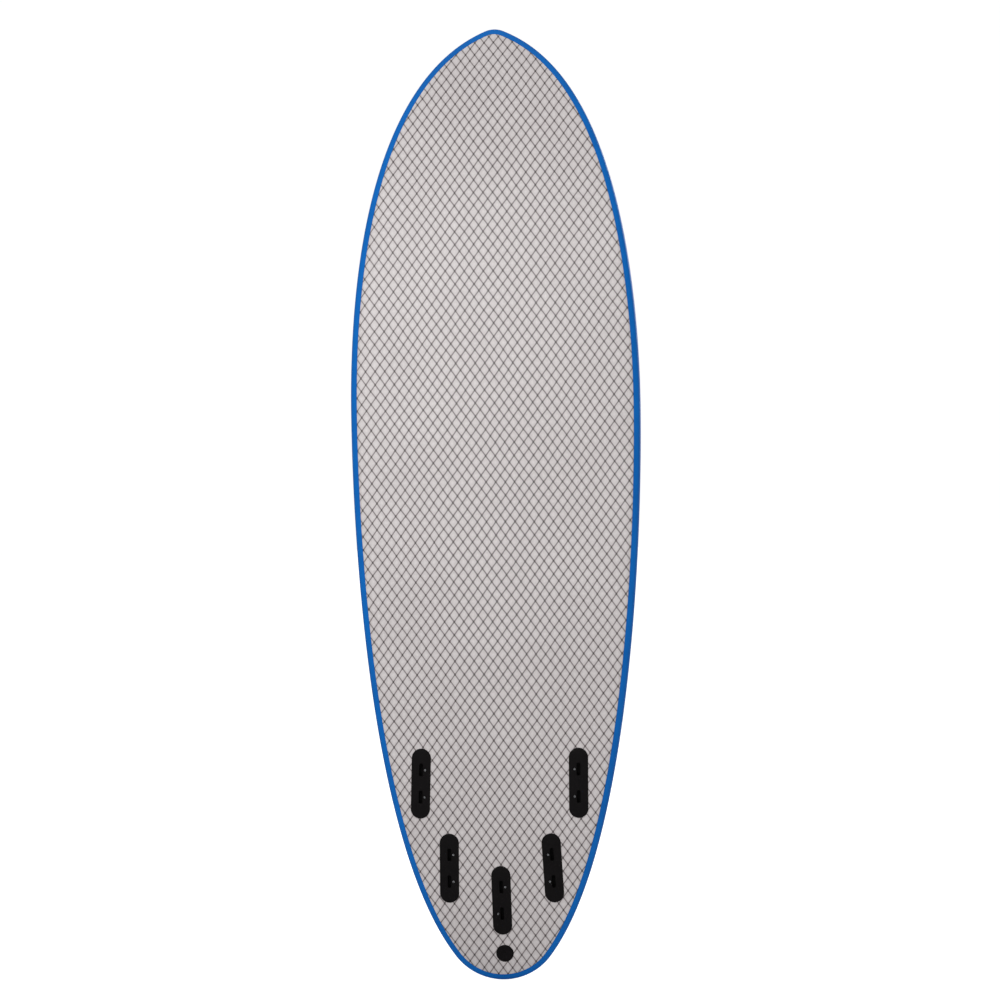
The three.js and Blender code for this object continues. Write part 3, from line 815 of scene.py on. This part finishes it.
box_blank = start_pill("fin box", BOX_LENGTH, BOX_WIDTH, -FLANGE_DEPTH)
lift(FLANGE_DEPTH + BOX_PROUD)
close(box_blank)
bpy.ops.object.mode_set(mode="EDIT")
select(box_blank, "FACE", lambda face: face.normal.z < -0.9)
lift(0)
widen(BODY_WIDTH / BOX_WIDTH, BODY_LENGTH / BOX_LENGTH)
lift(FLANGE_DEPTH - BODY_DEPTH)
select(box_blank, "EDGE", lambda edge: all(v.co.z > BOX_PROUD - 0.01 for v in edge.verts))
bpy.ops.mesh.bevel(offset=BOX_ROUNDING, segments=4, affect="EDGES")
close(box_blank)

for y in ENDS.values():
    slot = start_pill("slot", SLOT_LENGTH, SLOT_WIDTH, -SLOT_DEPTH, 32)
    lift(SLOT_DEPTH + BOX_PROUD - SLOT_CHAMFER)
    lift(SLOT_CHAMFER)
    widen((SLOT_WIDTH + 2 * SLOT_CHAMFER) / SLOT_WIDTH,
          (SLOT_LENGTH + 2 * SLOT_CHAMFER) / SLOT_LENGTH)
    lift(CUT_REACH)
    close(slot).data.transform(Matrix.Translation((0, y, 0)))
    cut(box_blank, slot)


def screw_mouth(side, y):
    """The mouth of a screw hole in its fin box; the hole leans towards the slot with depth."""
    return Matrix.Translation((side * SCREW_OFFSET, y, BOX_PROUD)) @ Matrix.Rotation(
        side * SCREW_LEAN, 4, "Y")


# The hole runs on below the screw, and its mouth is countersunk
HOLE_RUN = 4
HOLE_DEPTH = SCREW_SINK + SCREW_LENGTH + HOLE_RUN
MOUTH_RADIUS = 3.3
MOUTH_DEPTH = 0.6
MOUTH_OVER = 0.2

# Glass-filled nylon, injection-moulded: satin black with a fine spark-eroded grain and
# slightly greyer patches where the glass comes to the surface
nylon, tree, shader, place = new_finish(
    "glass_filled_nylon_moulded", Roughness=0.5, Specular_IOR_Level=0.1)
grit = add_node(tree, "TexNoise", {"Vector": place, "Scale": per_metre(0.8), "Detail": 3})
bloom = add_node(tree, "TexNoise", {"Vector": place, "Scale": per_metre(14), "Detail": 4})
shade = add_node(tree, "Mix", {"Factor": bloom.outputs["Fac"], 6: linear("#090708"),
                               7: linear("#141112")}, data_type="RGBA")
relief = add_node(tree, "Bump", {"Height": grit.outputs["Fac"], "Distance": 0.00008,
                                 "Strength": 0.6})
dress(tree, shader, shade, relief)

for box_name in BOX_NAMES:
    activate(box_blank)
    bpy.ops.object.duplicate()
    fin_box = bpy.context.object
    fin_box.name = fin_box.data.name = "fin_box_shell_" + box_name
    for side, y in zip(SCREW_SIDES[box_name], ENDS.values()):
        well = start_round("screw hole", SCREW_RADIUS + FIT, -HOLE_DEPTH, 32)
        lift(HOLE_DEPTH - MOUTH_DEPTH)
        lift(MOUTH_DEPTH + MOUTH_OVER)
        widen(MOUTH_RADIUS / (SCREW_RADIUS + FIT), MOUTH_RADIUS / (SCREW_RADIUS + FIT))
        lift(HOLE_RUN)
        close(well).data.transform(screw_mouth(side, y))
        cut(fin_box, well)
    smooth(fin_box)
    put(fin_box, box_seats[box_name])
    hand_over(fin_box, nylon, "box_nylon", "fin_box_" + box_name)
bpy.data.objects.remove(box_blank)


# --- Grub screws --------------------------------------------------------------------------
# Ten stainless grub screws, two to a box, clamp the fins' tabs. Each has a hexagon socket,
# a chamfered top, a rolled thread and a cone point.

SOCKET_RADIUS = 1.45
SOCKET_DEPTH = 3
SOCKET_CHAMFER = 0.25
SOCKET_FLARE = 1.18
THREAD_PITCH = 0.8
THREAD_DEPTH = 0.3
TOP_CHAMFER = 0.35
TOP_LAND = 0.3
POINT_RADIUS = 0.6
POINT_LENGTH = 1.4


def turn(name, profile, sides=32):
    """A turned piece: from the first (radius, height), each step is extruded and widened."""
    radius, height = profile[0]
    piece = start_round(name, radius, height, sides)
    for next_radius, next_height in profile[1:]:
        lift(next_height - height)
        widen(next_radius / radius, next_radius / radius)
        radius, height = next_radius, next_height
    return close(piece)


def threaded(radius, bottom, top):
    """Ring-shaped ridges that stand for a rolled thread, as steps of a turned profile."""
    steps = []
    for k in range(int((top - bottom) / THREAD_PITCH)):
        low = bottom + k * THREAD_PITCH
        steps += [(radius - THREAD_DEPTH, low), (radius, low + THREAD_PITCH / 2)]
    return steps + [(radius - THREAD_DEPTH, top)]


foot = -SCREW_SINK - SCREW_LENGTH
grub_blank = turn("grub screw", [
    (POINT_RADIUS, foot), *threaded(SCREW_RADIUS, foot + POINT_LENGTH, -SCREW_SINK - TOP_LAND),
    (SCREW_RADIUS - TOP_CHAMFER, -SCREW_SINK),
], 24)
socket = start_round("socket", SOCKET_RADIUS, -SCREW_SINK - SOCKET_DEPTH, 6)
lift(SOCKET_DEPTH - SOCKET_CHAMFER)
lift(SOCKET_CHAMFER)
widen(SOCKET_FLARE, SOCKET_FLARE)
lift(SOCKET_DEPTH)
close(socket)
cut(grub_blank, socket)
smooth(grub_blank, 30)

# Stainless steel, turned and passivated: bright grey with a fine haze and duller spots,
# so it shows as a small pale dot on the black box
steel, tree, shader, place = new_finish("stainless_steel_turned", Roughness=0.38, Metallic=1)
haze = add_node(tree, "TexNoise", {"Vector": place, "Scale": per_metre(1.5), "Detail": 4})
shade = add_node(tree, "Mix", {"Factor": haze.outputs["Fac"], 6: linear("#8F9094"),
                               7: linear("#C3C4C6")}, data_type="RGBA")
relief = add_node(tree, "Bump", {"Height": haze.outputs["Fac"], "Distance": 0.00005})
dress(tree, shader, shade, relief)

for box_name in BOX_NAMES:
    for side, (end, y) in zip(SCREW_SIDES[box_name], ENDS.items()):
        activate(grub_blank)
        bpy.ops.object.duplicate()
        screw = bpy.context.object
        screw.name = screw.data.name = f"clamp_screw_{box_name}_{end}"
        put(screw, box_seats[box_name] @ screw_mouth(side, y))
        hand_over(screw, steel, "steel", f"grub_screw_{box_name}_{end}",
                  body=f"screw_{box_name}_{end}")
bpy.data.objects.remove(grub_blank)


# --- Leash disc ---------------------------------------------------------------------------
# The bottom half of the leash plug: a moulded nylon disc with a soft shoulder and a small
# gate mark in the middle. Its boss goes up into the core and takes the bolt.

DISC_PROUD = 1.3
DISC_DEPTH = 2.8
BOSS_RADIUS = 7
BOSS_DEPTH = 9
BOLT_HOLE_RADIUS = 3.2

disc = turn("leash_plug_disc", [
    (BOLT_HOLE_RADIUS, -DISC_DEPTH), (BOLT_HOLE_RADIUS, -BOSS_DEPTH), (BOSS_RADIUS, -BOSS_DEPTH),
    (BOSS_RADIUS, -DISC_DEPTH), (DISC_RADIUS, -DISC_DEPTH), (DISC_RADIUS, 0.3),
    (DISC_RADIUS - 0.12, 0.72), (DISC_RADIUS - 0.42, 1.06), (DISC_RADIUS - 0.95, DISC_PROUD - 0.03),
    (DISC_RADIUS - 1.5, DISC_PROUD), (1.5, DISC_PROUD - 0.1), (1.1, DISC_PROUD - 0.2),
    (0.9, DISC_PROUD - 0.6), (0.3, DISC_PROUD - 0.7),
], 72)
smooth(disc)
put(disc, disc_seat)
hand_over(disc, nylon, "box_nylon", "leash_disc")


# --- Leash cup ----------------------------------------------------------------------------
# The top half, let into the deck: a flanged cup with a deep bowl for the leash's string,
# drilled through its walls for the cross pin and through its floor for the bolt.

CUP_RADIUS = 13
CUP_PROUD = 1
CUP_DEPTH = 17.5
BOWL_RADIUS = 10.5
BOWL_DEPTH = 15
PIN_RADIUS = 2
PIN_DEPTH = 4

cup = turn("leash_plug_cup", [
    (BOLT_HOLE_RADIUS, -CUP_DEPTH), (CUP_RADIUS - 0.5, -CUP_DEPTH), (CUP_RADIUS, -CUP_DEPTH + 0.5),
    (CUP_RADIUS, -1.5), (CUP_FLANGE_RADIUS, -1.5), (CUP_FLANGE_RADIUS, 0.2),
    (CUP_FLANGE_RADIUS - 0.3, 0.7), (CUP_FLANGE_RADIUS - 1, CUP_PROUD),
    (BOWL_RADIUS + 1, CUP_PROUD), (BOWL_RADIUS + 0.3, CUP_PROUD - 0.3),
    (BOWL_RADIUS, CUP_PROUD - 1), (BOWL_RADIUS, 1 - BOWL_DEPTH), (BOWL_RADIUS - 1, -BOWL_DEPTH),
    (BOLT_HOLE_RADIUS, -BOWL_DEPTH),
], 72)
bpy.ops.object.mode_set(mode="EDIT")
select(cup, "FACE", lambda face: len(face.verts) > 4)
bpy.ops.mesh.delete(type="ONLY_FACE")
select(cup, "EDGE", lambda edge: edge.is_boundary)
bpy.ops.mesh.bridge_edge_loops()
close(cup)
across_board = Matrix.Translation((0, 0, -PIN_DEPTH)) @ Matrix.Rotation(math.pi / 2, 4, "Y")
pin_hole = turn("pin hole", [
    (PIN_RADIUS + FIT, -CUP_RADIUS - 1), (PIN_RADIUS + FIT, CUP_RADIUS + 1)])
pin_hole.data.transform(across_board)
cut(cup, pin_hole)
smooth(cup)
put(cup, cup_seat)
hand_over(cup, nylon, "box_nylon", "leash_cup")


# --- Leash pin ----------------------------------------------------------------------------
# A stainless pin pressed across the cup, with chamfered ends. The leash's string is tied
# round it.

PIN_HALF = CUP_RADIUS - 0.5

pin = turn("leash_plug_pin", [
    (PIN_RADIUS - 0.4, -PIN_HALF), (PIN_RADIUS, 0.4 - PIN_HALF), (PIN_RADIUS, PIN_HALF - 0.4),
    (PIN_RADIUS - 0.4, PIN_HALF),
])
smooth(pin)
put(pin, cup_seat @ across_board)
hand_over(pin, steel, "steel", "leash_pin")


# --- Leash bolt ---------------------------------------------------------------------------
# A stainless socket-head bolt goes down through the cup and the core into the disc's boss,
# and clamps the two halves on the board.

BOLT_RADIUS = 2.2
BOLT_HEAD_RADIUS = 4.6
BOLT_HEAD_HEIGHT = 2.6
BOLT_SOCKET_RADIUS = 1.9
BOLT_SOCKET_DEPTH = 1.9

bolt_foot = disc_seat @ Vector((0, 0, 1 - BOSS_DEPTH))
bolt_top = cup_seat @ Vector((0, 0, 0.5 - BOWL_DEPTH))
bolt_length = (bolt_top - bolt_foot).length
bolt_turn = Vector((0, 0, 1)).rotation_difference(bolt_top - bolt_foot).to_matrix().to_4x4()
bolt_seat = Matrix.Translation(bolt_foot) @ bolt_turn
head_top = bolt_length + BOLT_HEAD_HEIGHT
bolt = turn("leash_plug_bolt", [
    (BOLT_RADIUS - 0.4, 0), *threaded(BOLT_RADIUS, 0.4, bolt_length - 1),
    (BOLT_RADIUS, bolt_length), (BOLT_HEAD_RADIUS, bolt_length),
    (BOLT_HEAD_RADIUS, head_top - 0.7), (BOLT_HEAD_RADIUS - 0.4, head_top - 0.2),
    (BOLT_HEAD_RADIUS - 1.2, head_top),
])
socket = start_round("bolt socket", BOLT_SOCKET_RADIUS, head_top - BOLT_SOCKET_DEPTH, 6)
lift(2 * BOLT_SOCKET_DEPTH)
close(socket)
cut(bolt, socket)
smooth(bolt, 30)
put(bolt, bolt_seat)
hand_over(bolt, steel, "steel", "leash_bolt")


# --- Studio -------------------------------------------------------------------------------
# A wide backlit white floor under an even white sky, a soft overhead light, and two large
# soft lights. The one in front hangs high and a little to the left, so that the bottom darkens
# slowly towards its ends and its right side, and the one behind lights the deck.

SKY_LIGHT = 0.34
WHITE = 1.02
FLOOR_BACKLIGHT = 0.9
FLOOR_RADIUS = 40
ROLLER_MARKS_PER_METRE = 30

bpy.ops.mesh.primitive_circle_add(
    vertices=96, radius=FLOOR_RADIUS, fill_type="NGON", location=(0, 0, 0))
floor = bpy.context.object
floor.name = "studio_floor"
floor_paint, tree, shader, place = new_finish("floor_paint_matt", Roughness=0.9,
                                              Specular_IOR_Level=0.1)
roller = add_node(tree, "TexNoise", {"Vector": place, "Scale": ROLLER_MARKS_PER_METRE,
                                     "Detail": 2})
shade = add_node(tree, "Mix", {"Factor": roller.outputs["Fac"], 6: linear("#CFCFCF"),
                               7: linear("#D4D4D4")}, data_type="RGBA")
tree.links.new(shade.outputs[2], shader.inputs["Base Color"])
# The backlight lifts the floor to white where it's looked at, and isn't a light on the board
ray = add_node(tree, "LightPath")
lit = add_node(tree, "Math", {0: ray.outputs["Is Camera Ray"], 1: FLOOR_BACKLIGHT},
               operation="MULTIPLY")
tree.links.new(lit.outputs[0], shader.inputs["Emission Strength"])
shader.inputs["Emission Color"].default_value = linear("#FFFFFF")
floor.data.materials.append(floor_paint)

# The sky is white where it's looked at, and dimmer as a light
world = bpy.data.worlds.new("studio")
bpy.context.scene.world = world
world.use_nodes = True
tree = world.node_tree
ray = add_node(tree, "LightPath")
strength = add_node(tree, "MapRange", {"Value": ray.outputs["Is Camera Ray"],
                                       "To Min": SKY_LIGHT, "To Max": WHITE})
tree.links.new(strength.outputs["Result"], tree.nodes["Background"].inputs["Strength"])
tree.nodes["Background"].inputs["Color"].default_value = linear("#FFFFFF")

BOARD_MIDDLE = Vector((0, bottom_at(THICKEST_POINT) / 1000, LENGTH / 2000))


def add_light(name, kind, position, watts, aim=BOARD_MIDDLE, **settings):
    """A light turned towards aim, and left out of view. A sun takes watts for each square metre."""
    lamp = bpy.data.lights.new(name, kind)
    lamp.energy = watts
    for setting, value in settings.items():
        setattr(lamp, setting, value)
    light = bpy.data.objects.new(name, lamp)
    bpy.context.scene.collection.objects.link(light)
    light.location = position
    light.rotation_euler = (Vector(aim) - Vector(position)).to_track_quat("-Z", "Y").to_euler()
    light.visible_camera = False


add_light("overhead", "SUN", (-0.3, -0.4, 6), 0.5, (0, 0, 0), angle=math.radians(60))
add_light("key_softbox", "AREA", (-0.45, -2.0, 1.65), 22.6, size=1.4)
add_light("rear_softbox", "AREA", (2.2, 3.2, 2.4), 75, size=1.8)


# --- Camera -------------------------------------------------------------------------------
# Four and a half metres in front of the bottom and a little to its right, level with the
# middle of the board.

CAMERA_DISTANCE = 4.5
CAMERA_SIDE = math.radians(3.6)
CAMERA_ROLL = math.radians(0.72)
FIELD_OF_VIEW = math.radians(23.68)
AIM = Vector((0.0080, BOARD_MIDDLE.y, 0.9163))

lens = bpy.data.cameras.new("camera")
lens.lens_unit = "FOV"
lens.angle = FIELD_OF_VIEW
lens.clip_end = 200
camera = bpy.data.objects.new("camera", lens)
bpy.context.scene.collection.objects.link(camera)
towards_camera = Vector((math.sin(CAMERA_SIDE), -math.cos(CAMERA_SIDE), 0))
camera.location = AIM + CAMERA_DISTANCE * towards_camera
facing = (AIM - camera.location).to_track_quat("-Z", "Y").to_matrix().to_4x4()
camera.rotation_euler = (facing @ Matrix.Rotation(-CAMERA_ROLL, 4, "Z")).to_euler()
bpy.context.scene.camera = camera
bpy.context.scene.view_settings.view_transform = "Standard"
